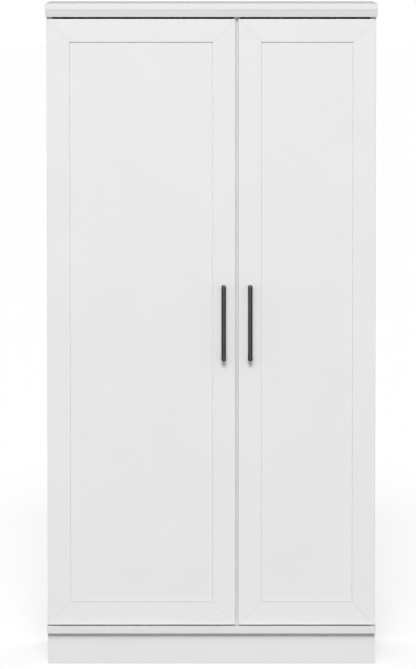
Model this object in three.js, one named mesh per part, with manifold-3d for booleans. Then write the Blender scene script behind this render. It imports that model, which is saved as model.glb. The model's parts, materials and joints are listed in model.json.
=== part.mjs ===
// Pantry cabinet: a tall free-standing cupboard on a recessed plinth, with a wide left
// door and a narrow right door on either side of a centre partition. Both doors are mitred
// frames around a recessed flat panel, hung on concealed cup hinges, with dark bar pulls.
// Millimetres, +Z up, front towards -Y, origin at the centre of the box that the cabinet
// fills, on the floor. Inside each builder, y = 0 is the doors' front plane.
import * as THREE from 'three';
import { mergeVertices } from 'three/addons/utils/BufferGeometryUtils.js';
import Module from 'manifold-3d';

const wasm = await Module();
wasm.setup();

// ---- driving dimensions -------------------------------------------------------------

const HEIGHT = 1800;
const BACK = 417; // rear face, measured from the doors' front plane
const BOARD = 16; // side, partition, shelf and plinth boards
const BACK_BOARD = 3;
const BACK_SEAM = 0.5; // between the two back sheets
const BACK_INSET = 1; // from the case's sides to the sheets' outer edges

const CASE_HALF = 446; // outer face of the side panels
const CASE_FRONT = 18; // front edges of the side panels and partition
const PARTITION_X = 69.5;

const TOP = { half: 450, front: -8, thickness: 17 };
const MOULDING = { half: 449, height: 19.5, topFront: -7, slope: 5, width: 60, sideWidth: 64 };
const BASE = { half: 447.5, front: -8, top: 105, thickness: 20, slope: 2 };
const TOE_KICK_FRONT = 16;

const DOOR = { thickness: 16, bottom: 108.5, top: 1758, outerX: 445.5, meetingGap: 8 };
const FRAME = { width: 62, edgeRadius: 1.6, innerChamfer: 0.4, mitreGap: 0.15 };
const PANEL = { recess: 3.2, thickness: 7, inGroove: 7, grooveDepth: 7.5, grooveClearance: 0.2 };
const QUIRK = { width: 1.5, depth: 2.8 }; // sunk line around the panel, beside the frame

const HANDLE = { length: 204.5, projection: 35, bar: 9, leg: 12.5, midWidth: 10.7, endWidth: 12.3 };
const HANDLE_CORNERS = { outer: 3.4, inner: 4, chamfer: 3 };
const HANDLE_FROM_EDGE = 32;
const HANDLE_Z = 935;
const HANDLE_SCREW_SPACING = 192;
const HANDLE_FLARE = 24; // length at each end over which the pull widens
const SCREW = { shank: 2, head: 4.2, rim: 1, crown: 3.4, headRise: 1.7, intoPull: 10 };
const SCREW_BORE = { inStile: 2.4, inPull: 2.2, pullDepth: 12 };

const HINGE_HEIGHTS = [207.5, 933, 1658]; // cup centres above the floor
const CUP = { fromEdge: 22.5, radius: 17.2, bore: 17.5, boreDepth: 12, boreRest: 0.3, wall: 1.7 };
const CUP_FLANGE = { thickness: 1, overlap: 1.3, earWidth: 16, earHeight: 60, earInward: 6 };
const HINGE_PLATE = { thickness: 2, depth: 28, height: 50, behindPivot: 40 };
const HINGE_ARM_HEIGHT = 12;
const PIVOT_FROM_EDGE = 5;

// Soft bumpers between the doors' meeting stiles and the partition's front edge.
const BUMPER = { radius: 1.9, thickness: 1.8, fromEdge: 2, heights: { bottom: 125, top: 1740 } };

// Undersides of the shelves. The fixed shelf ties the sides to the partition.
const FIXED_SHELF = 758;
const LEFT_SHELVES = { lower: 425, middle: 1097, upper: 1433 };
const RIGHT_SHELVES = { lower: 393, middle: 1065, upper: 1401 };
const SHELF = { setback: 10, rearGap: 6, sideGap: 1, fixedSetback: 2 };

// Rows of shelf-pin holes: three heights for each adjustable shelf.
// The partition is drilled from both faces, so its holes are shallower.
const PIN_HOLE = { radius: 2.5, depth: 9, shallow: 6.5, pitch: 32, fromFront: 60, fromRear: 50 };

// ---- worked-out values ----------------------------------------------------------------

const HANDLE_FRONT = -HANDLE.projection;
const ORIGIN_Y = (HANDLE_FRONT + BACK) / 2;
const CASE_BACK = BACK - BACK_BOARD;
const SIDE_INNER = CASE_HALF - BOARD;
const PARTITION_LEFT = PARTITION_X - BOARD / 2;
const PARTITION_RIGHT = PARTITION_X + BOARD / 2;
const TOP_UNDERSIDE = HEIGHT - TOP.thickness;
const CASE_TOP = TOP_UNDERSIDE - MOULDING.height;
const DOOR_HEIGHT = DOOR.top - DOOR.bottom;
const LEFT_BAY = [-SIDE_INNER, PARTITION_LEFT];
const RIGHT_BAY = [PARTITION_RIGHT, SIDE_INNER];

// ---- materials --------------------------------------------------------------------------

const finish = (color, roughness, metalness = 0) =>
  new THREE.MeshStandardMaterial({ color, roughness, metalness });

const CASE_WHITE = finish(0xf1f1f1, 0.5);
const DOOR_WHITE = finish(0xf4f4f4, 0.42);
const INSIDE_WHITE = finish(0xeeeeec, 0.55);
const HARDBOARD = finish(0xe9e9e6, 0.65);
const HANDLE_BLACK = finish(0x2a2a2b, 0.4, 0.6);
const HINGE_STEEL = finish(0xb8babd, 0.3, 1);
const SCREW_STEEL = finish(0xa9abae, 0.35, 1);
const BUMPER_CLEAR = finish(0xdcdedd, 0.3);

// ---- geometry helpers -------------------------------------------------------------------

const AXIS_X = new THREE.Vector3(1, 0, 0);
const AXIS_Y = new THREE.Vector3(0, 1, 0);
const AXIS_Z = new THREE.Vector3(0, 0, 1);

function solidOf(geometry) {
  const bare = geometry.clone();
  bare.deleteAttribute('normal');
  bare.deleteAttribute('uv');
  const merged = mergeVertices(bare, 1e-4);
  return new wasm.Manifold(new wasm.Mesh({
    numProp: 3,
    vertProperties: new Float32Array(merged.attributes.position.array),
    triVerts: new Uint32Array(merged.index.array),
  }));
}

function geometryOf(solid) {
  const { vertProperties, triVerts } = solid.getMesh();
  const geometry = new THREE.BufferGeometry();
  geometry.setAttribute('position', new THREE.BufferAttribute(vertProperties, 3));
  geometry.setIndex(new THREE.BufferAttribute(triVerts, 1));
  geometry.computeVertexNormals();
  return geometry;
}

function cut(geometry, tools) {
  const cutAway = (solid, tool) => solid.subtract(solidOf(tool));
  return geometryOf(tools.reduce(cutAway, solidOf(geometry)));
}

function join(geometries) {
  const [first, ...others] = geometries.map(solidOf);
  return geometryOf(others.reduce((solid, other) => solid.add(other), first));
}

// A rod along X, Y or Z between two values of that coordinate.
function rod(axis, radius, from, to, [x, y, z], sides) {
  const geometry = new THREE.CylinderGeometry(radius, radius, to - from, sides);
  if (axis === AXIS_X) geometry.rotateZ(-Math.PI / 2);
  if (axis === AXIS_Z) geometry.rotateX(Math.PI / 2);
  const middle = new THREE.Vector3(x, y, z).addScaledVector(axis, (from + to) / 2);
  return geometry.translate(middle.x, middle.y, middle.z);
}

// A (y, z) outline pushed out along X, centred on x = 0.
function extrudeAlongX(outline, length, bevel = {}) {
  const geometry = new THREE.ExtrudeGeometry(outline, {
    depth: length, bevelEnabled: false, curveSegments: 6, ...bevel,
  });
  geometry.translate(0, 0, -length / 2);
  return geometry.applyMatrix4(new THREE.Matrix4().makeBasis(AXIS_Y, AXIS_Z, AXIS_X));
}

// An (x, y) outline pushed up along Z from z = 0.
function extrudeAlongZ(outline, height) {
  return new THREE.ExtrudeGeometry(outline, { depth: height, bevelEnabled: false });
}

function outlineOf(points) {
  return new THREE.Shape(points.map(([a, b]) => new THREE.Vector2(a, b)));
}

function meshOf(name, geometry, material, [x, y, z] = [0, 0, 0]) {
  const mesh = new THREE.Mesh(geometry, material);
  mesh.name = name;
  mesh.position.set(x, y, z);
  return mesh;
}

const middleOf = ([from, to]) => (from + to) / 2;

// A square-edged board that fills the given stretches of X, Y and Z. Each hole is a tool
// in the same coordinates as the stretches.
function board(name, material, xs, ys, zs, holes = []) {
  const centre = [middleOf(xs), middleOf(ys), middleOf(zs)];
  let geometry = new THREE.BoxGeometry(xs[1] - xs[0], ys[1] - ys[0], zs[1] - zs[0]);
  if (holes.length) {
    const [x, y, z] = centre;
    geometry = cut(geometry, holes.map((hole) => hole.translate(-x, -y, -z)));
  }
  return meshOf(name, geometry, material, centre);
}

// ---- case ---------------------------------------------------------------------------------

// Shelf-pin holes in the face at x = faceX, drilled towards +X or -X.
function pinHoles(faceX, direction, depth, shelves) {
  const ends = [faceX - direction, faceX + direction * depth].sort((a, b) => a - b);
  const rows = [CASE_FRONT + PIN_HOLE.fromFront, CASE_BACK - PIN_HOLE.fromRear];
  const holes = [];
  for (const underside of Object.values(shelves)) {
    for (const step of [-1, 0, 1]) {
      const z = underside - PIN_HOLE.radius + step * PIN_HOLE.pitch;
      holes.push(...rows.map((y) => rod(AXIS_X, PIN_HOLE.radius, ...ends, [0, y, z], 8)));
    }
  }
  return holes;
}

function uprights() {
  const ys = [CASE_FRONT, CASE_BACK];
  const zs = [BASE.top, CASE_TOP];
  const { depth, shallow } = PIN_HOLE;
  const inLeft = pinHoles(-SIDE_INNER, -1, depth, LEFT_SHELVES);
  const inRight = pinHoles(SIDE_INNER, 1, depth, RIGHT_SHELVES);
  const inPartition = [
    ...pinHoles(PARTITION_LEFT, 1, shallow, LEFT_SHELVES),
    ...pinHoles(PARTITION_RIGHT, -1, shallow, RIGHT_SHELVES),
  ];
  return [
    board('left_side_panel', CASE_WHITE, [-CASE_HALF, -SIDE_INNER], ys, zs, inLeft),
    board('right_side_panel', CASE_WHITE, [SIDE_INNER, CASE_HALF], ys, zs, inRight),
    board('centre_partition', INSIDE_WHITE, [PARTITION_LEFT, PARTITION_RIGHT], ys, zs, inPartition),
  ];
}

// The top board lies on a flat frame of strips. The front strip's face slopes inwards
// towards its lower edge and shows below the top board as a moulding.
function topFrame() {
  const { half, height, topFront, slope, width, sideWidth } = MOULDING;
  const stripBack = topFront + width;
  const zs = [CASE_TOP, TOP_UNDERSIDE];
  const sideInner = half - sideWidth;
  const rearRail = [CASE_BACK - sideWidth, CASE_BACK];
  const frontOutline = outlineOf([
    [topFront, height], [topFront + slope, 0], [stripBack, 0], [stripBack, height],
  ]);
  const centreRail = [PARTITION_X - sideWidth / 2, PARTITION_X + sideWidth / 2];
  const sides = [stripBack, CASE_BACK];
  return [
    meshOf('top_moulding_front', extrudeAlongX(frontOutline, 2 * half), CASE_WHITE, [0, 0, CASE_TOP]),
    board('top_moulding_left', CASE_WHITE, [-half, -sideInner], sides, zs),
    board('top_moulding_right', CASE_WHITE, [sideInner, half], sides, zs),
    board('top_rail_rear', INSIDE_WHITE, [-sideInner, sideInner], rearRail, zs),
    board('top_rail_centre', INSIDE_WHITE, centreRail, [stripBack, rearRail[0]], zs),
  ];
}

function topPanel() {
  const zs = [TOP_UNDERSIDE, HEIGHT];
  return board('top_panel', CASE_WHITE, [-TOP.half, TOP.half], [TOP.front, BACK], zs);
}

function plinth() {
  const zs = [0, BASE.top - BASE.thickness];
  const railFront = TOE_KICK_FRONT + BOARD;
  const railBack = BACK - BOARD;
  const between = [railFront, railBack];
  const inner = CASE_HALF - BOARD;
  return [
    board('toe_kick_front', CASE_WHITE, [-CASE_HALF, CASE_HALF], [TOE_KICK_FRONT, railFront], zs),
    board('plinth_side_left', CASE_WHITE, [-CASE_HALF, -inner], between, zs),
    board('plinth_side_right', CASE_WHITE, [inner, CASE_HALF], between, zs),
    board('plinth_rear', CASE_WHITE, [-CASE_HALF, CASE_HALF], [railBack, BACK], zs),
    board('plinth_centre', CASE_WHITE, [PARTITION_LEFT, PARTITION_RIGHT], between, zs),
  ];
}

// The bottom board's front edge slopes inwards a little towards its underside.
function basePanel() {
  const { half, front, top, thickness, slope } = BASE;
  const outline = outlineOf([[front, thickness], [front + slope, 0], [BACK, 0], [BACK, thickness]]);
  const place = [0, 0, top - thickness];
  return meshOf('bottom_panel', extrudeAlongX(outline, 2 * half), CASE_WHITE, place);
}

// Two hardboard sheets that meet behind the partition.
function backPanels() {
  const half = CASE_HALF - BACK_INSET;
  const ys = [CASE_BACK, BACK];
  const zs = [BASE.top, TOP_UNDERSIDE];
  return [
    board('back_panel_left', HARDBOARD, [-half, PARTITION_X - BACK_SEAM / 2], ys, zs),
    board('back_panel_right', HARDBOARD, [PARTITION_X + BACK_SEAM / 2, half], ys, zs),
  ];
}

function shelves(bayName, bay, undersides) {
  const loose = [bay[0] + SHELF.sideGap, bay[1] - SHELF.sideGap];
  const looseDepth = [CASE_FRONT + SHELF.setback, CASE_BACK - SHELF.rearGap];
  const fixedDepth = [CASE_FRONT + SHELF.fixedSetback, CASE_BACK];
  const at = (underside) => [underside, underside + BOARD];
  const adjustable = Object.entries(undersides).map(([place, underside]) =>
    board(`${bayName}_shelf_${place}`, INSIDE_WHITE, loose, looseDepth, at(underside)));
  return [
    board(`${bayName}_shelf_fixed`, INSIDE_WHITE, bay, fixedDepth, at(FIXED_SHELF)),
    ...adjustable,
  ];
}

// ---- doors --------------------------------------------------------------------------------

// Section of a frame member: x runs from the door's outer edge to the panel opening and y
// from the front face to the back. The inner edge is grooved for the panel.
function memberSection() {
  const { width, edgeRadius: r, innerChamfer: c } = FRAME;
  const grooveFront = PANEL.recess + QUIRK.depth - PANEL.grooveClearance;
  const grooveBack = PANEL.recess + PANEL.thickness + PANEL.grooveClearance;
  const grooveX = width - PANEL.grooveDepth;
  const section = new THREE.Shape();
  section.moveTo(0, r);
  section.absarc(r, r, r, Math.PI, 1.5 * Math.PI, false);
  section.lineTo(width - c, 0);
  section.lineTo(width, c);
  section.lineTo(width, grooveFront);
  section.lineTo(grooveX, grooveFront);
  section.lineTo(grooveX, grooveBack);
  section.lineTo(width, grooveBack);
  section.lineTo(width, DOOR.thickness);
  section.lineTo(0, DOOR.thickness);
  return section;
}

// A member that stands on z = 0 with its outer edge on x = 0 and both ends mitred at 45
// degrees, so it is as much shorter at each end as it is wide.
function mitredMember(length) {
  const settings = { depth: length, bevelEnabled: false, curveSegments: 4 };
  const geometry = new THREE.ExtrudeGeometry(memberSection(), settings);
  const place = geometry.attributes.position;
  for (let i = 0; i < place.count; i += 1) {
    const inset = place.getX(i) + FRAME.mitreGap;
    place.setZ(i, place.getZ(i) > length / 2 ? length - inset : inset);
  }
  return geometry;
}

const HANDLE_SCREW_HEIGHTS = [-1, 1].map((end) => HANDLE_Z + (end * HANDLE_SCREW_SPACING) / 2);

function hingeStile(heightIn) {
  const { fromEdge, bore, boreDepth } = CUP;
  const from = DOOR.thickness - boreDepth;
  return cut(mitredMember(DOOR_HEIGHT), HINGE_HEIGHTS.map((height) =>
    rod(AXIS_Y, bore, from, DOOR.thickness + 1, [fromEdge, 0, heightIn(height)], 32)));
}

function handleStile(heightIn) {
  const { inStile } = SCREW_BORE;
  return cut(mitredMember(DOOR_HEIGHT), HANDLE_SCREW_HEIGHTS.map((height) =>
    rod(AXIS_Y, inStile, -1, DOOR.thickness + 1, [HANDLE_FROM_EDGE, 0, heightIn(height)], 12)));
}

// The four members and the panel of one door, in a group whose origin is the lower front
// corner at the left. The hinge side is 'left' or 'right' as seen from the front. The
// right stile stands upside down, so its bores are counted from the door's top.
function doorLeaf(name, width, hingeSide) {
  const fromBottom = (height) => height - DOOR.bottom;
  const fromTop = (height) => DOOR.top - height;
  const [leftStile, rightStile] = hingeSide === 'left'
    ? [hingeStile(fromBottom), handleStile(fromTop)]
    : [handleStile(fromBottom), hingeStile(fromTop)];

  const left = meshOf(`${name}_stile_left`, leftStile, DOOR_WHITE);
  const right = meshOf(`${name}_stile_right`, rightStile, DOOR_WHITE, [width, 0, DOOR_HEIGHT]);
  right.rotation.y = Math.PI;
  const top = meshOf(`${name}_rail_top`, mitredMember(width), DOOR_WHITE, [0, 0, DOOR_HEIGHT]);
  top.rotation.y = Math.PI / 2;
  const bottom = meshOf(`${name}_rail_bottom`, mitredMember(width), DOOR_WHITE, [width, 0, 0]);
  bottom.rotation.y = -Math.PI / 2;

  const centre = [width / 2, 0, DOOR_HEIGHT / 2];
  const panel = meshOf(`${name}_panel`, panelGeometry(width), DOOR_WHITE, centre);
  return [left, right, top, bottom, panel];
}

// The flat panel, centred on x and z. Its border is thinner, so that a sunk line runs
// around it where it enters the frame.
function panelGeometry(width) {
  const { recess, thickness, inGroove } = PANEL;
  const plate = (fromEdge, front) => {
    const depth = recess + thickness - front;
    const geometry = new THREE.BoxGeometry(width - 2 * fromEdge, depth, DOOR_HEIGHT - 2 * fromEdge);
    return geometry.translate(0, front + depth / 2, 0);
  };
  const border = plate(FRAME.width - inGroove, recess + QUIRK.depth);
  const field = plate(FRAME.width + QUIRK.width, recess);
  return join([border, field]);
}

// Side view of a bar pull: y runs out from the door (negative), z along the pull. Its feet
// reach into the door by the chamfer, so that they stay flat once they are cut off there.
function handleOutline() {
  const { length, projection, bar, leg } = HANDLE;
  const { outer, inner, chamfer: foot } = HANDLE_CORNERS;
  const half = length / 2;
  const front = -projection;
  const flare = half - HANDLE_FLARE;
  const outline = new THREE.Shape();
  outline.moveTo(foot, -half);
  outline.lineTo(foot, -half + leg);
  outline.lineTo(front + bar + inner, -half + leg);
  outline.absarc(front + bar + inner, -half + leg + inner, inner, -Math.PI / 2, -Math.PI, true);
  outline.lineTo(front + bar, -flare);
  outline.lineTo(front + bar, flare);
  outline.absarc(front + bar + inner, half - leg - inner, inner, Math.PI, Math.PI / 2, true);
  outline.lineTo(foot, half - leg);
  outline.lineTo(foot, half);
  outline.absarc(front + outer, half - outer, outer, Math.PI / 2, Math.PI, false);
  outline.lineTo(front, flare);
  outline.lineTo(front, -flare);
  outline.absarc(front + outer, -half + outer, outer, Math.PI, 1.5 * Math.PI, false);
  return outline;
}

// The pull is a little narrower between its ends than over the legs, and its long edges
// are chamfered.
function handleGeometry() {
  const { chamfer } = HANDLE_CORNERS;
  const { inPull, pullDepth } = SCREW_BORE;
  const { length, endWidth, midWidth } = HANDLE;
  const geometry = extrudeAlongX(handleOutline(), endWidth - 2 * chamfer, {
    bevelEnabled: true, bevelThickness: chamfer, bevelSize: chamfer,
    bevelOffset: -chamfer, bevelSegments: 1,
  });
  const place = geometry.attributes.position;
  const straight = length / 2 - HANDLE_FLARE;
  for (let i = 0; i < place.count; i += 1) {
    const beyond = Math.max(0, Math.abs(place.getZ(i)) - straight) / HANDLE_FLARE;
    const width = midWidth + (endWidth - midWidth) * Math.min(1, beyond);
    place.setX(i, (place.getX(i) * width) / endWidth);
  }
  const behindFoot = new THREE.BoxGeometry(2 * endWidth, 2 * chamfer, 2 * length);
  const bores = [-1, 1].map((end) =>
    rod(AXIS_Y, inPull, -pullDepth, 1, [0, 0, (end * HANDLE_SCREW_SPACING) / 2], 12));
  return cut(geometry, [behindFoot.translate(0, chamfer, 0), ...bores]);
}

// A pan-head machine screw along Y: the head bears on the door's back and the shank ends
// inside the pull's leg.
function handleScrewGeometry() {
  const { shank, head, rim, crown, headRise, intoPull } = SCREW;
  const back = DOOR.thickness;
  const profile = [
    [0, -intoPull], [shank, -intoPull], [shank, back], [head, back], [head, back + rim],
    [crown, back + headRise], [0, back + headRise],
  ];
  return new THREE.LatheGeometry(profile.map(([r, y]) => new THREE.Vector2(r, y)), 12);
}

function handleSet(name, x) {
  const pull = meshOf(`${name}_handle`, handleGeometry(), HANDLE_BLACK, [x, 0, HANDLE_Z]);
  const screws = HANDLE_SCREW_HEIGHTS.map((height, i) => {
    const place = i ? 'top' : 'bottom';
    return meshOf(`${name}_handle_screw_${place}`, handleScrewGeometry(), SCREW_STEEL, [x, 0, height]);
  });
  return [pull, ...screws];
}

function bumpers(name, x) {
  const { radius, thickness, heights } = BUMPER;
  const back = DOOR.thickness;
  return Object.entries(heights).map(([place, height]) => {
    const geometry = rod(AXIS_Y, radius, back, back + thickness, [0, 0, 0], 16);
    return meshOf(`${name}_bumper_${place}`, geometry, BUMPER_CLEAR, [x, 0, height]);
  });
}

// ---- hinges -------------------------------------------------------------------------------

// The pressed cup of a concealed hinge, centred on its bore. `inward` is +1 where the
// door's middle lies towards +X. The flange lies on the door's back face.
function hingeCupGeometry(inward) {
  const { radius, boreDepth, boreRest, wall } = CUP;
  const { thickness, overlap, earWidth, earHeight, earInward } = CUP_FLANGE;
  const back = DOOR.thickness;
  const flangeBack = back + thickness;
  const floor = back - boreDepth + boreRest;
  const centre = [0, 0, 0];
  const bowl = rod(AXIS_Y, radius, floor, flangeBack, centre, 32);
  const rim = rod(AXIS_Y, radius + overlap, back, flangeBack, centre, 32);
  const ears = new THREE.BoxGeometry(earWidth, thickness, earHeight);
  ears.translate(earInward * inward, back + thickness / 2, 0);
  const hollow = rod(AXIS_Y, radius - wall, floor + wall, flangeBack + 1, centre, 32);
  return cut(join([bowl, rim, ears]), [hollow]);
}

// Plan of the hinge arm, in (distance from the pivot towards the bay, distance behind the
// pivot). Its nose dips into the cup when the door is shut.
const ARM_PLAN = [
  [10.5, -1.2], [13, -1.2], [17.5, 3.5], [20.5, 10], [21, 14], [21, 62], [12, 62], [12, 9], [11.6, 4.5],
];

// The arm and its mounting plate, from the pivot: z is centred on the cup.
function hingeArmGeometry(inward) {
  const toBay = ARM_PLAN.map(([x, y]) => [x * inward, y]);
  const arm = extrudeAlongZ(outlineOf(toBay), HINGE_ARM_HEIGHT);
  arm.translate(0, 0, -HINGE_ARM_HEIGHT / 2);
  const { thickness, depth, height, behindPivot } = HINGE_PLATE;
  const fromPivot = DOOR.outerX - PIVOT_FROM_EDGE - SIDE_INNER + thickness / 2;
  const plate = new THREE.BoxGeometry(thickness, depth, height);
  plate.translate(inward * fromPivot, behindPivot, 0);
  return join([arm, plate]);
}

const HINGE_PLACES = ['bottom', 'middle', 'top'];

function hinges(name, hingeSide) {
  const inward = hingeSide === 'left' ? 1 : -1;
  const edge = -inward * DOOR.outerX;
  const cupX = edge + inward * CUP.fromEdge;
  const pivotX = edge + inward * PIVOT_FROM_EDGE;
  const pivotY = DOOR.thickness / 2;
  return HINGE_HEIGHTS.flatMap((height, i) => {
    const cupName = `${name}_hinge_cup_${HINGE_PLACES[i]}`;
    const armName = `${name}_hinge_arm_${HINGE_PLACES[i]}`;
    return [
      meshOf(cupName, hingeCupGeometry(inward), HINGE_STEEL, [cupX, 0, height]),
      meshOf(armName, hingeArmGeometry(inward), HINGE_STEEL, [pivotX, pivotY, height]),
    ];
  });
}

// ---- assembly -------------------------------------------------------------------------------

function door(name, hingeSide) {
  const towardHinge = hingeSide === 'left' ? -1 : 1;
  const meetingEdge = PARTITION_X + (towardHinge * DOOR.meetingGap) / 2;
  const [left, right] = [meetingEdge, towardHinge * DOOR.outerX].sort((a, b) => a - b);
  const leaf = new THREE.Group();
  leaf.position.set(left, 0, DOOR.bottom);
  leaf.add(...doorLeaf(name, right - left, hingeSide));
  return [
    leaf,
    ...handleSet(name, meetingEdge + towardHinge * HANDLE_FROM_EDGE),
    ...bumpers(name, meetingEdge + towardHinge * BUMPER.fromEdge),
  ];
}

const cabinet = new THREE.Group();
cabinet.position.y = -ORIGIN_Y;
cabinet.add(...uprights(), topPanel(), ...topFrame(), basePanel(), ...plinth(), ...backPanels());
cabinet.add(...shelves('left', LEFT_BAY, LEFT_SHELVES), ...shelves('right', RIGHT_BAY, RIGHT_SHELVES));
cabinet.add(...door('left_door', 'left'), ...door('right_door', 'right'));
cabinet.add(...hinges('left_door', 'left'), ...hinges('right_door', 'right'));

const model = new THREE.Group();
model.add(cabinet);

export default model;
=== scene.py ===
"""Looks for the pantry cabinet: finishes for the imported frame, small fittings, studio and camera.

Everything is in metres in the frame's own axes: +X right, +Y to the back, +Z up, floor at z = 0.
The outlines of the small fittings are in millimetres and are scaled as their meshes are made.
"""
import json
import math

import bmesh
import bpy
from mathutils import Matrix, Vector


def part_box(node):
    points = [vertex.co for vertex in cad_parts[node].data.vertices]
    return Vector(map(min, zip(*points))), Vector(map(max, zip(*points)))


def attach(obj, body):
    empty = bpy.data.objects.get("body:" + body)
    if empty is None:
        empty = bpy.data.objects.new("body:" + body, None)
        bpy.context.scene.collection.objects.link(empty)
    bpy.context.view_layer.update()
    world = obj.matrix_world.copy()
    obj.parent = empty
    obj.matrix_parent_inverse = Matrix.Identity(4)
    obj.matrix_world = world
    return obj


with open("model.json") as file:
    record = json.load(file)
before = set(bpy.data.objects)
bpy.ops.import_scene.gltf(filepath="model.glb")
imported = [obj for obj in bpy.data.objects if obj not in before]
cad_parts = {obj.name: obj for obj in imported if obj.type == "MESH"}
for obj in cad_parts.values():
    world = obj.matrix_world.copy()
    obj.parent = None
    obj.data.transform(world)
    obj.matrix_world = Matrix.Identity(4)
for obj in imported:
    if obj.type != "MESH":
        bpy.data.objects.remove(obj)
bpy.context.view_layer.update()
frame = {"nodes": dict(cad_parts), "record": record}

MM = 0.001
NODES = frame["nodes"]
ACROSS, BACKWARD, UP = Vector((1.0, 0.0, 0.0)), Vector((0.0, 1.0, 0.0)), Vector((0.0, 0.0, 1.0))

# ---- places taken from the frame ------------------------------------------------------------

CASE_LO, CASE_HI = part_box("centre_partition")
DOOR_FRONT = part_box("left_door_stile_left")[0].y
DOOR_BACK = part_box("left_door_stile_left")[1].y
INWARD = {"left_door": 1, "right_door": -1}  # the way along X from the hinge edge to the door's middle

# ---- where the small fittings sit -----------------------------------------------------------

ROWS = {"front": CASE_LO.y + 60 * MM, "rear": CASE_HI.y - 50 * MM}  # of shelf pins and cam caps, in Y
PIN_UNDER_SHELF = 2.5 * MM
CAP_FROM_END = 34 * MM  # from the end of the board that the cam holds

CUP_TO_PIVOT = 17.5 * MM  # along X, from the middle of a hinge cup to the door's axis
ARM_FACE = 21 * MM  # from the door's axis, along X
ARM_MIDDLE = 39 * MM  # from the door's axis, towards the back
COVER_THICKNESS = 0.9  # of the arm's cover, in mm because its mesh is made with it
ARM_SCREWS = {"fixing": 15.0 * MM, "depth": -14.5 * MM}  # from the arm's middle, towards the back
PLATE_FACE = 12.5 * MM
PLATE_MIDDLE = 40 * MM
PLATE_SCREW_RISE = 18 * MM  # above and below the hinge's middle
FLANGE_THICKNESS = 1 * MM
FLANGE_SCREW_INSET = 6 * MM  # from the cup's middle, away from the door's edge
FLANGE_SCREW_RISE = 24 * MM
LINK_FROM_PIVOT = 18.5 * MM
LINK_FROM_DOOR_FRONT = 6.0 * MM

NAILS_UP_EDGE = 12
NAIL_GAPS_ACROSS = 4
NAIL_FOOT, NAIL_HEAD = 40, 10  # mm inside the back sheet's lower and upper edges
NAIL_OUTER, NAIL_INNER = 7, 4  # mm inside its outer edge and its edge behind the partition


# ---- node helpers ---------------------------------------------------------------------------

MIX_FACTOR, MIX_FIRST, MIX_SECOND, MIX_COLOUR = 0, 6, 7, 2  # a Mix node's sockets for colours
MIDDLE = (0.3, 0.7)  # the range that holds most of a noise's values


def feed(tree, socket, value):
    """Link a socket to another one, or set it to a plain value."""
    if isinstance(value, bpy.types.NodeSocket):
        tree.links.new(value, socket)
    else:
        socket.default_value = value


def add(tree, kind, **inputs):
    """A shader node with its inputs, which are named with underscores for spaces."""
    node = tree.nodes.new(kind)
    for name, value in inputs.items():
        feed(tree, node.inputs[name.replace("_", " ")], value)
    return node


def principled(name, **values):
    """A new material and its shader, with uniform values set on the shader's own sockets."""
    material = bpy.data.materials.new(name)
    material.use_nodes = True
    tree = material.node_tree
    shader = next(n for n in tree.nodes if n.type == "BSDF_PRINCIPLED")
    for key, value in values.items():
        shader.inputs[key.replace("_", " ")].default_value = value
    return material, tree, shader


def coordinates(tree, kind):
    """A point's place or normal on its own object, or the direction seen in the world's light."""
    return tree.nodes.new("ShaderNodeTexCoord").outputs[kind]


def stretched(tree, vector, scale):
    return add(tree, "ShaderNodeMapping", Vector=vector, Scale=scale).outputs["Vector"]


def noise(tree, vector, scale, detail, roughness):
    return add(
        tree, "ShaderNodeTexNoise", Vector=vector, Scale=scale, Detail=detail, Roughness=roughness
    ).outputs["Fac"]


def remap(tree, value, low, high, start=0.0, end=1.0):
    """The value from low..high becomes start..end."""
    return add(
        tree, "ShaderNodeMapRange", Value=value, From_Min=low, From_Max=high, To_Min=start, To_Max=end
    ).outputs["Result"]


def combine(tree, operation, first, second):
    """Two numbers joined by an arithmetic operation."""
    node = tree.nodes.new("ShaderNodeMath")
    node.operation = operation
    feed(tree, node.inputs[0], first)
    feed(tree, node.inputs[1], second)
    return node.outputs[0]


def colour_mix(tree, factor, first, second):
    """The first colour at factor 0 and the second at factor 1."""
    mix = tree.nodes.new("ShaderNodeMix")
    mix.data_type = "RGBA"
    feed(tree, mix.inputs[MIX_FACTOR], factor)
    for socket, colour in ((MIX_FIRST, first), (MIX_SECOND, second)):
        linked = isinstance(colour, bpy.types.NodeSocket)
        feed(tree, mix.inputs[socket], colour if linked else (*colour, 1.0))
    return mix.outputs[MIX_COLOUR]


def bump(tree, height, distance, strength, under=None):
    """A bumped normal, on top of another bump's normal if one is given."""
    inputs = {"Height": height, "Distance": distance, "Strength": strength}
    if under is not None:
        inputs["Normal"] = under
    return add(tree, "ShaderNodeBump", **inputs).outputs["Normal"]


def edges(tree, low=0.505, high=0.56):
    """1 on outer edges, 0 on flats."""
    pointiness = tree.nodes.new("ShaderNodeNewGeometry").outputs["Pointiness"]
    return remap(tree, pointiness, low, high)


def shade(colour, factor):
    return [min(1.0, channel * factor) for channel in colour]


# ---- finishes -------------------------------------------------------------------------------

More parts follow.
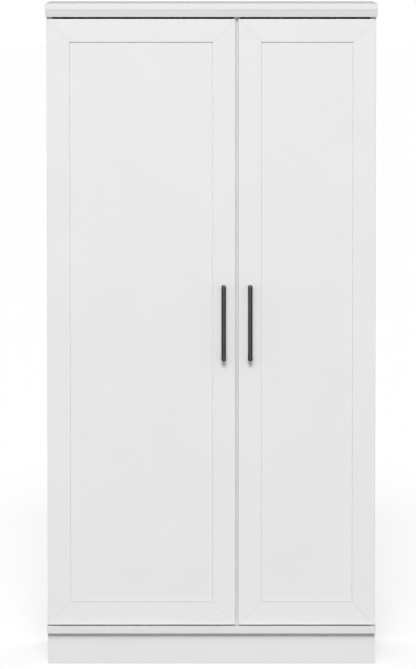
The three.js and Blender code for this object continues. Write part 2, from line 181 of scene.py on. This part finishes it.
def foil(name, colour, roughness, texture):
    """A white foil or laminate: slow mottling, a fine pressed texture and slightly polished edges."""
    material, tree, shader = principled(name, IOR=1.5, Specular_IOR_Level=0.32)
    place = coordinates(tree, "Object")
    upright, level = (stretched(tree, place, (1.0, 1.0, squeeze)) for squeeze in (0.35, 4.0))
    mottle = noise(tree, place, scale=5.0, detail=4.0, roughness=0.55)
    pressed = noise(tree, upright, scale=1500.0, detail=3.0, roughness=0.6)
    scuffs = noise(tree, level, scale=22.0, detail=5.0, roughness=0.65)
    tint = colour_mix(tree, remap(tree, mottle, *MIDDLE), shade(colour, 0.985), shade(colour, 1.008))
    tree.links.new(tint, shader.inputs["Base Color"])
    shine = combine(tree, "ADD", remap(tree, scuffs, 0.35, 0.75, start=-0.05, end=0.06), roughness)
    polish = combine(tree, "MULTIPLY", edges(tree), 0.08)
    tree.links.new(combine(tree, "SUBTRACT", shine, polish), shader.inputs["Roughness"])
    wave = bump(tree, mottle, distance=0.12 * MM, strength=0.5)
    skin = bump(tree, pressed, distance=texture, strength=0.6, under=wave)
    tree.links.new(skin, shader.inputs["Normal"])
    return material


def hardboard(name):
    """Back sheets: white foil on the inside, raw brown pressed fibre on the outside."""
    white, blotch = (0.83, 0.83, 0.82), (0.38, 0.27, 0.17)
    dark_fibre, light_fibre = (0.30, 0.20, 0.12), (0.47, 0.345, 0.225)
    material, tree, shader = principled(name, IOR=1.45)
    place = coordinates(tree, "Object")
    pressed = stretched(tree, place, (1.0, 1.0, 0.6))
    fibres = noise(tree, pressed, scale=420.0, detail=6.0, roughness=0.7)
    blotches = noise(tree, place, scale=9.0, detail=5.0, roughness=0.6)
    raw = colour_mix(tree, remap(tree, fibres, 0.3, 0.72), dark_fibre, light_fibre)
    raw = colour_mix(tree, remap(tree, blotches, 0.35, 0.75, end=0.45), raw, blotch)
    normal = tree.nodes.new("ShaderNodeNewGeometry").outputs["True Normal"]
    facing_back = add(tree, "ShaderNodeSeparateXYZ", Vector=normal).outputs["Y"]
    outside = remap(tree, facing_back, 0.4, 0.6)
    tree.links.new(colour_mix(tree, outside, white, raw), shader.inputs["Base Color"])
    tree.links.new(remap(tree, outside, 0.0, 1.0, start=0.5, end=0.78), shader.inputs["Roughness"])
    tree.links.new(bump(tree, fibres, distance=0.05 * MM, strength=0.7), shader.inputs["Normal"])
    return material


def powder_coat(name):
    """Near-black satin coat with a fine texture and edges burnished by wear; the front face is a painted
    highlight, lighter than the sides and ends, which carry painted shade.
    """
    deep, pale, burnished = (0.085, 0.085, 0.088), (0.115, 0.115, 0.118), (0.17, 0.17, 0.172)
    # Painted shade: the darker colour of the sides and ends, and its worn version at their edges.
    side, side_painted_shade_worn = (0.022, 0.022, 0.023), (0.05, 0.05, 0.052)
    material, tree, shader = principled(name, Metallic=0.9, IOR=1.5)
    place = coordinates(tree, "Object")
    pebbles = noise(tree, place, scale=2600.0, detail=2.0, roughness=0.5)
    handling = noise(tree, place, scale=60.0, detail=4.0, roughness=0.6)
    worn = combine(tree, "MULTIPLY", edges(tree, 0.51, 0.60), remap(tree, handling, 0.4, 0.65))
    coat = colour_mix(tree, remap(tree, pebbles, 0.35, 0.7), deep, pale)
    coat = colour_mix(tree, worn, coat, burnished)
    # Painted shade on the sides and ends, with their worn edges.
    sides = colour_mix(tree, worn, side, side_painted_shade_worn)
    # Painted highlight and shade: faces that look to the front get the lighter coat, all others the darker
    # side colour.
    facing = add(tree, "ShaderNodeSeparateXYZ", Vector=coordinates(tree, "Normal")).outputs["Y"]
    front = remap(tree, facing, -0.96, -0.80, start=1.0, end=0.0)
    tree.links.new(colour_mix(tree, front, sides, coat), shader.inputs["Base Color"])
    tree.links.new(remap(tree, handling, *MIDDLE, start=0.38, end=0.46), shader.inputs["Roughness"])
    tree.links.new(bump(tree, pebbles, distance=0.02 * MM, strength=0.8), shader.inputs["Normal"])
    return material


def plated_steel(name, colour, roughness):
    """Bright plated steel with rolling marks along Z and a little tarnish."""
    material, tree, shader = principled(name, Metallic=1.0, Anisotropic=0.35)
    place = coordinates(tree, "Object")
    rolled = noise(tree, stretched(tree, place, (1.0, 1.0, 0.05)), scale=1800.0, detail=3.0, roughness=0.6)
    tarnish = noise(tree, place, scale=90.0, detail=4.0, roughness=0.6)
    tint = colour_mix(tree, remap(tree, tarnish, 0.4, 0.75), colour, shade(colour, 0.8))
    tree.links.new(tint, shader.inputs["Base Color"])
    shine = combine(tree, "ADD", remap(tree, rolled, *MIDDLE, start=-0.05, end=0.07), roughness)
    tree.links.new(shine, shader.inputs["Roughness"])
    tree.links.new(bump(tree, rolled, distance=0.01 * MM, strength=0.5), shader.inputs["Normal"])
    return material


def moulded(name, colour, roughness, subsurface=0.0):
    """Moulded plastic or silicone with a fine spark-eroded skin."""
    material, tree, shader = principled(name, IOR=1.47, Subsurface_Weight=subsurface)
    place = coordinates(tree, "Object")
    grain = noise(tree, place, scale=3000.0, detail=2.0, roughness=0.5)
    flow = noise(tree, place, scale=120.0, detail=3.0, roughness=0.5)
    tint = colour_mix(tree, remap(tree, flow, *MIDDLE), shade(colour, 0.93), colour)
    tree.links.new(tint, shader.inputs["Base Color"])
    shine = remap(tree, grain, *MIDDLE, start=roughness - 0.04, end=roughness + 0.06)
    tree.links.new(shine, shader.inputs["Roughness"])
    tree.links.new(bump(tree, grain, distance=0.008 * MM, strength=0.6), shader.inputs["Normal"])
    return material


FINISHES = {
    "case_white": foil("case_foil", (0.87, 0.87, 0.87), roughness=0.45, texture=0.012 * MM),
    "inside_white": foil("inside_foil", (0.86, 0.86, 0.855), roughness=0.5, texture=0.012 * MM),
    "door_white": foil("door_foil", (0.885, 0.885, 0.885), roughness=0.4, texture=0.008 * MM),
    "back_board": hardboard("back_hardboard"),
    "handle_black": powder_coat("pull_powder_coat"),
    "hinge_steel": plated_steel("hinge_nickel", (0.63, 0.63, 0.62), roughness=0.26),
    "screw_steel": plated_steel("screw_zinc", (0.56, 0.57, 0.58), roughness=0.32),
    "bumper_clear": moulded("bumper_silicone", (0.74, 0.75, 0.74), roughness=0.3, subsurface=0.2),
}
CAP_PLASTIC = moulded("cap_plastic", (0.84, 0.84, 0.83), roughness=0.4)


# ---- the frame's own nodes ------------------------------------------------------------------

SOFTENED_EDGES = {  # by slot: the radius, and the least angle between faces in degrees
    "case_white": (0.7 * MM, 50),
    "inside_white": (0.6 * MM, 50),
    "door_white": (0.25 * MM, 50),
    "hinge_steel": (0.25 * MM, 50),
    "handle_black": (0.45 * MM, 35),
}
WELD_DISTANCE = 0.002 * MM
FULL_WEIGHT = 100  # large faces keep their own normals


def dress_node(node, slot_name):
    """The slot's finish, welded and softened edges, and smooth shading over the rounded ones."""
    node.data.materials.clear()
    node.data.materials.append(FINISHES[slot_name])
    for attribute in ("custom_normal", "sharp_edge", "sharp_face"):
        if attribute in node.data.attributes:
            node.data.attributes.remove(node.data.attributes[attribute])
    node.data.polygons.foreach_set("use_smooth", [True] * len(node.data.polygons))
    weld = node.modifiers.new("weld", "WELD")
    weld.merge_threshold = WELD_DISTANCE
    if slot_name in SOFTENED_EDGES:
        radius, least_angle = SOFTENED_EDGES[slot_name]
        soften = node.modifiers.new("edges", "BEVEL")
        soften.width = radius
        soften.segments = 2
        soften.limit_method = "ANGLE"
        soften.angle_limit = math.radians(least_angle)
    shading = node.modifiers.new("shading", "WEIGHTED_NORMAL")
    shading.weight = FULL_WEIGHT


for part in frame["record"]["subparts"]:
    dress_node(NODES[part["node"]], part["material_slot"])


# ---- mesh helpers ---------------------------------------------------------------------------

ROUNDED_FROM = math.radians(40)  # edges sharper than this are bevelled where a fitting asks for it
SHARP_FROM = math.radians(32)  # edges sharper than this stay crisp in the shading


def lathe(form, profile, sides=24):
    """A closed turned shape about Z, from (radius, height) points that start and end on the axis."""
    turns = [2.0 * math.pi * i / sides for i in range(sides)]
    rings = []
    for radius, height in profile:
        if radius == 0:
            ring = [form.verts.new((0.0, 0.0, height))]
        else:
            ring = [form.verts.new((radius * math.cos(t), radius * math.sin(t), height)) for t in turns]
        rings.append(ring)
    for low, high in zip(rings, rings[1:]):
        for i in range(sides):
            j = i + 1
            corners = [low[i % len(low)], low[j % len(low)], high[j % len(high)], high[i % len(high)]]
            form.faces.new(dict.fromkeys(corners))
    return [vert for ring in rings for vert in ring]


def prism(form, first, second):
    """Close the space between two rings with as many corners each."""
    form.faces.new(first)
    form.faces.new(reversed(second))
    for i in range(len(first)):
        j = (i + 1) % len(first)
        form.faces.new((first[j], first[i], second[i], second[j]))


def slab(form, outline, low, high):
    """A closed plate: an (x, z) outline between two heights in y."""
    bottom, top = ([form.verts.new((x, y, z)) for x, z in outline] for y in (low, high))
    prism(form, bottom, top)


def half_round(radius, middle, start, steps):
    """Points of a half circle that runs from the angle `start` about (0, middle)."""
    turns = [start + math.pi * i / steps for i in range(steps + 1)]
    return [(radius * math.cos(t), middle + radius * math.sin(t)) for t in turns]


def tongue(half_width, start, end):
    """The outline of a tongue: square at its start and half-round at its end."""
    arc = half_round(half_width, end - half_width, start=0.0, steps=10)
    return [(half_width, start), *arc, (-half_width, start)]


def stadium(half_width, start, end):
    """The outline of a plate that is half-round at both ends."""
    far = half_round(half_width, end - half_width, start=0.0, steps=8)
    near = half_round(half_width, start + half_width, start=math.pi, steps=8)
    return [*far, *near]


def spread(first, last, gaps):
    """Evenly spaced values from first to last."""
    return [first + (last - first) * i / gaps for i in range(gaps + 1)]


def finished_mesh(name, material, build, soften=0.0):
    """A mesh in metres from a recipe in millimetres, its edges softened by a bevel of that width."""
    form = bmesh.new()
    build(form)
    bmesh.ops.recalc_face_normals(form, faces=form.faces)
    if soften:
        sharp = [e for e in form.edges if e.is_manifold and e.calc_face_angle() > ROUNDED_FROM]
        bmesh.ops.bevel(
            form, geom=sharp, offset=soften, segments=2, profile=0.5, affect="EDGES", clamp_overlap=True
        )
    bmesh.ops.scale(form, vec=(MM, MM, MM), verts=form.verts)
    mesh = bpy.data.meshes.new(name)
    form.to_mesh(mesh)
    form.free()
    mesh.polygons.foreach_set("use_smooth", [True] * len(mesh.polygons))
    mesh.set_sharp_from_angle(angle=SHARP_FROM)
    mesh.materials.append(material)
    return mesh


def fit(name, mesh, body, place, out, up=UP):
    """Set a fitting on a surface: its Z looks along `out` and its Y along `up`."""
    piece = bpy.data.objects.new(name, mesh)
    turn = Matrix((up.cross(out), up, out)).transposed().to_4x4()
    piece.matrix_world = Matrix.Translation(place) @ turn
    bpy.context.scene.collection.objects.link(piece)
    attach(piece, body)


# ---- shapes of the small fittings, in millimetres ---------------------------------------------

CROSS_WING, CROSS_WEB = 1.9, 0.5  # half the length and half the width of a screw's cross
CROSS_TOP, CROSS_TIP, CROSS_TAPER = 1.0, -1.3, 0.55
HEAD_CROWN = (0, 15, 32, 50, 68)  # degrees up the round of a screw head
HEAD_RIM, NECK = 0.35, 0.55  # the rim's share of the head's height, and the neck's of its radius


def cross_cutter(form):
    """The tapered four-winged point of a screwdriver, for cutting a recess."""
    corners = ((1, 1), (-1, 1), (-1, -1), (1, -1))
    for half_x, half_y in ((CROSS_WEB, CROSS_WING), (CROSS_WING, CROSS_WEB)):
        top, tip = (
            [form.verts.new((x * half_x * taper, y * half_y * taper, height)) for x, y in corners]
            for height, taper in ((CROSS_TOP, 1.0), (CROSS_TIP, CROSS_TAPER))
        )
        prism(form, top, tip)


def screw_head(form, radius, rise):
    """A pan head whose underside is at z = 0, on a short neck."""
    turns = [math.radians(angle) for angle in HEAD_CROWN]
    crown = [(radius * math.cos(t), rise * (HEAD_RIM + (1 - HEAD_RIM) * math.sin(t))) for t in turns]
    neck = [(0, -1), (radius * NECK, -1), (radius * NECK, 0)]
    lathe(form, [*neck, (radius, 0), *crown, (0, rise)], sides=28)


def screw_head_mesh(name, material, radius, rise):
    """A screw head with a cross recess cut into it."""
    head = finished_mesh(name, material, lambda form: screw_head(form, radius, rise))
    holder = bpy.data.objects.new(name + "_holder", head)
    cutter = bpy.data.objects.new(name + "_cutter", finished_mesh(name + "_cross", material, cross_cutter))
    cutter.location.z = rise * MM
    for thing in (cutter, holder):
        bpy.context.scene.collection.objects.link(thing)
    carve = holder.modifiers.new("recess", "BOOLEAN")
    carve.operation = "DIFFERENCE"
    carve.object = cutter
    carve.use_self = True
    graph = bpy.context.evaluated_depsgraph_get()
    carved = bpy.data.meshes.new_from_object(holder.evaluated_get(graph))
    carved.name = name
    carved.set_sharp_from_angle(angle=SHARP_FROM)
    for thing in (cutter, holder):
        bpy.data.objects.remove(thing)
    return carved


def shelf_pin(form):
    """A turned pin with a collar, its inner end in the upright, and a tongue under the shelf."""
    shank, collar = 2.35, 3.9
    inner = [(0, -6), (1.9, -6), (shank, -5.5), (shank, 0)]
    flange = [(collar, 0), (collar, 0.6), (3.6, 0.8)]
    lathe(form, [*inner, *flange, (shank, 0.8), (shank, 6.2), (1.8, 6.8), (0, 6.8)])
    slab(form, tongue(3.5, 0.5, 9.0), 0.6, 2.45)


def cam_cap(form):
    """A thin round cover with a raised rim, pressed into a cam hole."""
    plug = [(0, -0.6), (6.8, -0.6), (6.8, 0)]
    rim = [(8.6, 0), (8.8, 0.3), (8.5, 0.75), (7.6, 0.95)]
    lathe(form, [*plug, *rim, (7.2, 0.8), (3.0, 0.95), (0, 1.0)], sides=40)


def nail_row(form, places):
    """Round nail heads at (x, y) places on z = 0."""
    profile = [(0, -3), (0.7, -3), (0.7, 0), (2.1, 0), (1.9, 0.28), (1.1, 0.45), (0, 0.5)]
    for x, y in places:
        bmesh.ops.translate(form, vec=(x, y, 0.0), verts=lathe(form, profile, sides=14))


def arm_cover(form):
    """The pressed cover that lies on a hinge arm, long in z, with a raised middle."""
    slab(form, stadium(4.7, -20.0, 20.0), 0.0, COVER_THICKNESS)
    slab(form, stadium(3.5, -9.0, 9.0), 0.8, 1.5)


def cup_link(form):
    """The folded link inside a hinge cup: two cheeks, a web and the cross pin. X runs into the cup."""
    cheek = [(0.0, 0.6), (8.5, 1.6), (11.0, 3.2), (11.2, 5.4), (8.4, 5.2), (0.0, 2.6)]
    for low, high in ((-5.5, -4.6), (4.6, 5.5)):
        slab(form, cheek, low, high)
    slab(form, [(0.6, 0.8), (7.4, 1.5), (7.4, 2.5), (0.6, 1.9)], -4.9, 4.9)
    pin = lathe(form, [(0, -7.5), (1.3, -7.5), (1.6, -7.2), (1.6, 7.2), (1.3, 7.5), (0, 7.5)], sides=18)
    lie_down = Matrix.Rotation(math.radians(90), 3, "X")
    bmesh.ops.rotate(form, cent=(0, 0, 0), matrix=lie_down, verts=pin)
    bmesh.ops.translate(form, vec=(9.4, 0.0, 3.9), verts=pin)


# ---- the small fittings in their places -------------------------------------------------------

def bay_faces(bay):
    """The inner faces of a bay at its left and right, as x."""
    shelf_lo, shelf_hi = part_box(f"{bay}_shelf_fixed")
    return shelf_lo.x, shelf_hi.x


def add_shelf_pins():
    """Four pins under each adjustable shelf."""
    mesh = finished_mesh("shelf_pin", FINISHES["screw_steel"], shelf_pin)
    for bay in ("left", "right"):
        left, right = bay_faces(bay)
        for level in ("lower", "middle", "upper"):
            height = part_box(f"{bay}_shelf_{level}")[0].z - PIN_UNDER_SHELF
            for side, x, out in (("left", left, ACROSS), ("right", right, -ACROSS)):
                for row, y in ROWS.items():
                    name = f"{bay}_{level}_pin_{side}_{row}"
                    fit(name, mesh, "case", (x, y, height), out)


def add_cam_caps():
    """Caps at the ends of the uprights and under the ends of the fixed shelves."""
    mesh = finished_mesh("cam_cap", CAP_PLASTIC, cam_cap)
    heights = {"low": CASE_LO.z + CAP_FROM_END, "high": CASE_HI.z - CAP_FROM_END}
    faces = {
        "left_side": (bay_faces("left")[0], ACROSS),
        "partition": (bay_faces("left")[1], -ACROSS),
        "right_side": (bay_faces("right")[1], -ACROSS),
    }
    for upright, (x, out) in faces.items():
        for level, z in heights.items():
            for row, y in ROWS.items():
                fit(f"cap_{upright}_{level}_{row}", mesh, "case", (x, y, z), out)
    for bay in ("left", "right"):
        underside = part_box(f"{bay}_shelf_fixed")[0].z
        left, right = bay_faces(bay)
        for side, x in (("left", left + CAP_FROM_END), ("right", right - CAP_FROM_END)):
            for row, y in ROWS.items():
                place = (x, y, underside)
                fit(f"cap_{bay}_shelf_{side}_{row}", mesh, "case", place, -UP, BACKWARD)


def add_hinge_details():
    """On each hinge: the arm's cover and screws, the plate's and the cup's screws, and the link."""
    steel, zinc = FINISHES["hinge_steel"], FINISHES["screw_steel"]
    plate_screw = screw_head_mesh("plate_screw", zinc, radius=3.6, rise=1.7)
    arm_screw = screw_head_mesh("arm_screw", zinc, radius=2.7, rise=1.2)
    cover = finished_mesh("arm_cover", steel, arm_cover, soften=0.25)
    link = finished_mesh("cup_link", steel, cup_link, soften=0.15)
    for door, inward in INWARD.items():
        out = ACROSS * inward
        for place in ("bottom", "middle", "top"):
            lo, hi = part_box(f"{door}_hinge_cup_{place}")
            cup = (lo + hi) / 2
            pivot = Vector((cup.x - CUP_TO_PIVOT * inward, (DOOR_FRONT + DOOR_BACK) / 2, cup.z))
            stem = f"{door}_hinge_{place}"
            arm = pivot + out * ARM_FACE + BACKWARD * ARM_MIDDLE
            fit(f"{stem}_cover", cover, "case", arm, BACKWARD, out)
            for name, along in ARM_SCREWS.items():
                spot = arm + out * COVER_THICKNESS * MM + BACKWARD * along
                fit(f"{stem}_{name}_screw", arm_screw, "case", spot, out)
            plate = pivot + out * PLATE_FACE + BACKWARD * PLATE_MIDDLE
            flange = Vector((cup.x + FLANGE_SCREW_INSET * inward, DOOR_BACK + FLANGE_THICKNESS, cup.z))
            for name, side in (("lower", -1), ("upper", 1)):
                spot = plate + UP * side * PLATE_SCREW_RISE
                fit(f"{stem}_plate_screw_{name}", plate_screw, "case", spot, out)
                spot = flange + UP * side * FLANGE_SCREW_RISE
                fit(f"{stem}_cup_screw_{name}", plate_screw, door, spot, BACKWARD)
            spot = Vector((pivot.x + LINK_FROM_PIVOT * inward, DOOR_FRONT + LINK_FROM_DOOR_FRONT, cup.z))
            fit(f"{stem}_link", link, door, spot, BACKWARD, UP * inward)


def add_back_nails():
    """Nails round the edges of the two back sheets and into the fixed shelves behind them."""
    insets = {"left": (NAIL_OUTER, NAIL_INNER), "right": (NAIL_INNER, NAIL_OUTER)}
    for bay, (from_left, from_right) in insets.items():
        lo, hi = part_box(f"back_panel_{bay}")
        low, high = lo.z / MM + NAIL_FOOT, hi.z / MM - NAIL_HEAD
        left, *across, right = spread(lo.x / MM + from_left, hi.x / MM - from_right, NAIL_GAPS_ACROSS)
        shelf_lo, shelf_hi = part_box(f"{bay}_shelf_fixed")
        shelf_z = (shelf_lo.z + shelf_hi.z) / 2 / MM
        # Seen along the sheet's outward normal, X runs towards the object's left.
        places = [(-x, z) for x in (left, right) for z in spread(low, high, NAILS_UP_EDGE - 1)]
        places += [(-x, z) for x in across for z in (shelf_z, high)]
        mesh = finished_mesh(f"{bay}_nails", FINISHES["screw_steel"], lambda form: nail_row(form, places))
        fit(f"back_nails_{bay}", mesh, "case", (0.0, hi.y, 0.0), BACKWARD)


add_shelf_pins()
add_cam_caps()
add_hinge_details()
add_back_nails()


# ---- camera ---------------------------------------------------------------------------------

CAMERA = {  # metres and degrees; the distance is from the doors' front faces, the lens in mm
    "distance": 12.0,
    "height": 1.9805,
    "pitch": 3.665,
    "lens": 238.78,
    "shift": (-0.005, -0.17),
    "reach": 200.0,
}


def make_camera():
    data = bpy.data.cameras.new("camera")
    data.lens = CAMERA["lens"]
    data.shift_x, data.shift_y = CAMERA["shift"]
    data.clip_end = CAMERA["reach"]
    camera = bpy.data.objects.new("camera", data)
    camera.location = (0.0, DOOR_FRONT - CAMERA["distance"], CAMERA["height"])
    camera.rotation_euler = (math.radians(90.0 - CAMERA["pitch"]), 0.0, 0.0)
    bpy.context.scene.collection.objects.link(camera)
    bpy.context.scene.camera = camera


# ---- studio ---------------------------------------------------------------------------------

FLOOR = {"albedo": 0.9, "glow": 0.32}
FLOOR_RADIUS, FLOOR_DROP = 72.0, 0.0005
BACKDROP = {"albedo": 0.0, "glow": 1.0}
BACKDROP_RADIUS = 70.0

# Where the studio's soft light fades, as ranges of a direction's Y or Z component.
FRONT_TO_SIDES = (-0.95, 0.1)
BELOW_TO_LEVEL = (-0.4, 0.15)
LEVEL_TO_OVERHEAD = (0.3, 1.0)


def stage_piece(name, build, albedo, glow):
    """A pale studio surface that only the camera sees, so it neither tints nor lights the object."""
    mesh = bpy.data.meshes.new(name)
    form = bmesh.new()
    build(form)
    form.to_mesh(mesh)
    form.free()
    surface = bpy.data.objects.new(name, mesh)
    material, _, shader = principled(name + "_paint", Roughness=0.9, Specular_IOR_Level=0.0)
    shader.inputs["Base Color"].default_value = (albedo, albedo, albedo, 1.0)
    shader.inputs["Emission Color"].default_value = (1.0, 1.0, 1.0, 1.0)
    shader.inputs["Emission Strength"].default_value = glow
    mesh.materials.append(material)
    surface.visible_diffuse = False
    surface.visible_glossy = False
    surface.visible_shadow = False
    bpy.context.scene.collection.objects.link(surface)
    return surface


def floor_disc(form):
    bmesh.ops.create_circle(form, cap_ends=True, segments=96, radius=FLOOR_RADIUS)


def backdrop_globe(form):
    bmesh.ops.create_uvsphere(form, u_segments=48, v_segments=24, radius=BACKDROP_RADIUS)


def make_studio():
    floor = stage_piece("floor", floor_disc, **FLOOR)
    floor.location.z = -FLOOR_DROP
    stage_piece("backdrop", backdrop_globe, **BACKDROP)


def area_light(name, place, target, size, power):
    data = bpy.data.lights.new(name, "AREA")
    data.shape = "RECTANGLE"
    data.size, data.size_y = size
    data.energy = power
    light = bpy.data.objects.new(name, data)
    light.location = place
    light.rotation_euler = (Vector(target) - Vector(place)).to_track_quat("-Z", "Y").to_euler()
    bpy.context.scene.collection.objects.link(light)


def sun_light(name, azimuth, elevation, spread_angle, strength):
    """Light from far off, its angles in degrees; azimuth counts from straight in front towards +X."""
    data = bpy.data.lights.new(name, "SUN")
    data.energy = strength
    data.angle = math.radians(spread_angle)
    light = bpy.data.objects.new(name, data)
    around, rise = math.radians(azimuth), math.radians(elevation)
    level = math.cos(rise)
    towards = Vector((math.sin(around) * level, -math.cos(around) * level, math.sin(rise)))
    light.rotation_euler = towards.to_track_quat("Z", "Y").to_euler()
    bpy.context.scene.collection.objects.link(light)


def make_world(sides, front, below, overhead):
    """Soft light from the front and the sides, and a share of it from below and overhead."""
    world = bpy.data.worlds.new("studio")
    world.use_nodes = True
    tree = world.node_tree
    background = next(n for n in tree.nodes if n.type == "BACKGROUND")
    parts = add(tree, "ShaderNodeSeparateXYZ", Vector=coordinates(tree, "Generated")).outputs
    strength = remap(tree, parts["Y"], *FRONT_TO_SIDES, start=front, end=sides)
    under = remap(tree, parts["Z"], *BELOW_TO_LEVEL, start=below, end=1.0)
    above = remap(tree, parts["Z"], *LEVEL_TO_OVERHEAD, start=1.0, end=overhead)
    for share in (under, above):
        strength = combine(tree, "MULTIPLY", strength, share)
    tree.links.new(strength, background.inputs["Strength"])
    background.inputs["Color"].default_value = (1.0, 1.0, 1.0, 1.0)
    bpy.context.scene.world = world


make_camera()
make_studio()
make_world(sides=0.28, front=0.82, below=0.25, overhead=0.5)
sun_light("key", azimuth=-0.2, elevation=29.0, spread_angle=15.0, strength=1.42)
sun_light("rear_left", azimuth=-130.0, elevation=38.0, spread_angle=50.0, strength=0.56)
sun_light("rear_right", azimuth=130.0, elevation=38.0, spread_angle=50.0, strength=0.56)
area_light("upper_fill", place=(-0.4, -3.6, 3.5), target=(0.0, 0.0, 1.2), size=(1.6, 1.2), power=23.0)
bpy.context.scene.view_settings.view_transform = "Standard"
